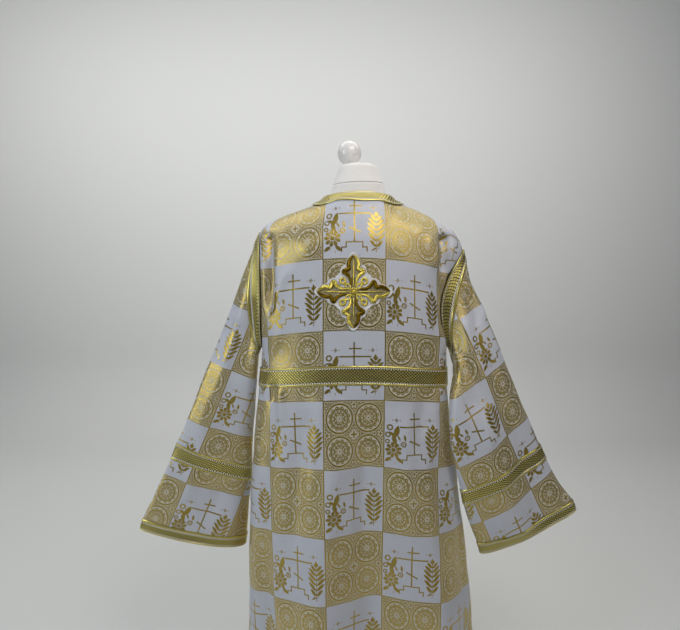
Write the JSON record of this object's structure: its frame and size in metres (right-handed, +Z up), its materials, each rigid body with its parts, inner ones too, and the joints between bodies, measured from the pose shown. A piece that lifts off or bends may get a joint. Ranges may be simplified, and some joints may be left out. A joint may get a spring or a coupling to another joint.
{
  "type": "sticharion on a dress form",
  "caption": "Long straight church robe of white and gold checked brocade with wide sleeves, gold braid and a cross on the back, worn by a limbless dress form on a stand.",
  "frame": {"origin": "middle of the underside of the stand's round base, on the floor", "axes": "+Z up; -Y towards the back of the robe, which the picture shows; +Y towards its front; +X towards the wearer's right sleeve"},
  "size_m": [1.1967, 0.4094, 1.6405],
  "materials": {
    "brocade": "white satin woven with gold",
    "braid": "woven metallic gold",
    "applique_ground": "white satin",
    "gold_cord": "metallic gold embroidery",
    "jersey": "plain white jersey",
    "stand_paint": "white gloss"
  },
  "bodies": {
    "root": {"form_torso": "jersey", "form_neck_cap": "jersey", "form_finial": "stand_paint", "stand_pole": "stand_paint", "stand_base": "stand_paint", "back_panel": "brocade", "front_panel": "brocade", "band_back": "braid", "band_front": "braid", "hem_braid": "braid", "neck_braid": "braid", "sleeve_left": "brocade", "armhole_braid_left": "braid", "sleeve_band_left": "braid", "cuff_braid_left": "braid", "sleeve_right": "brocade", "armhole_braid_right": "braid", "sleeve_band_right": "braid", "cuff_braid_right": "braid", "cross_ground": "applique_ground", "cross_gold": "gold_cord"}
  },
  "joints": []
}
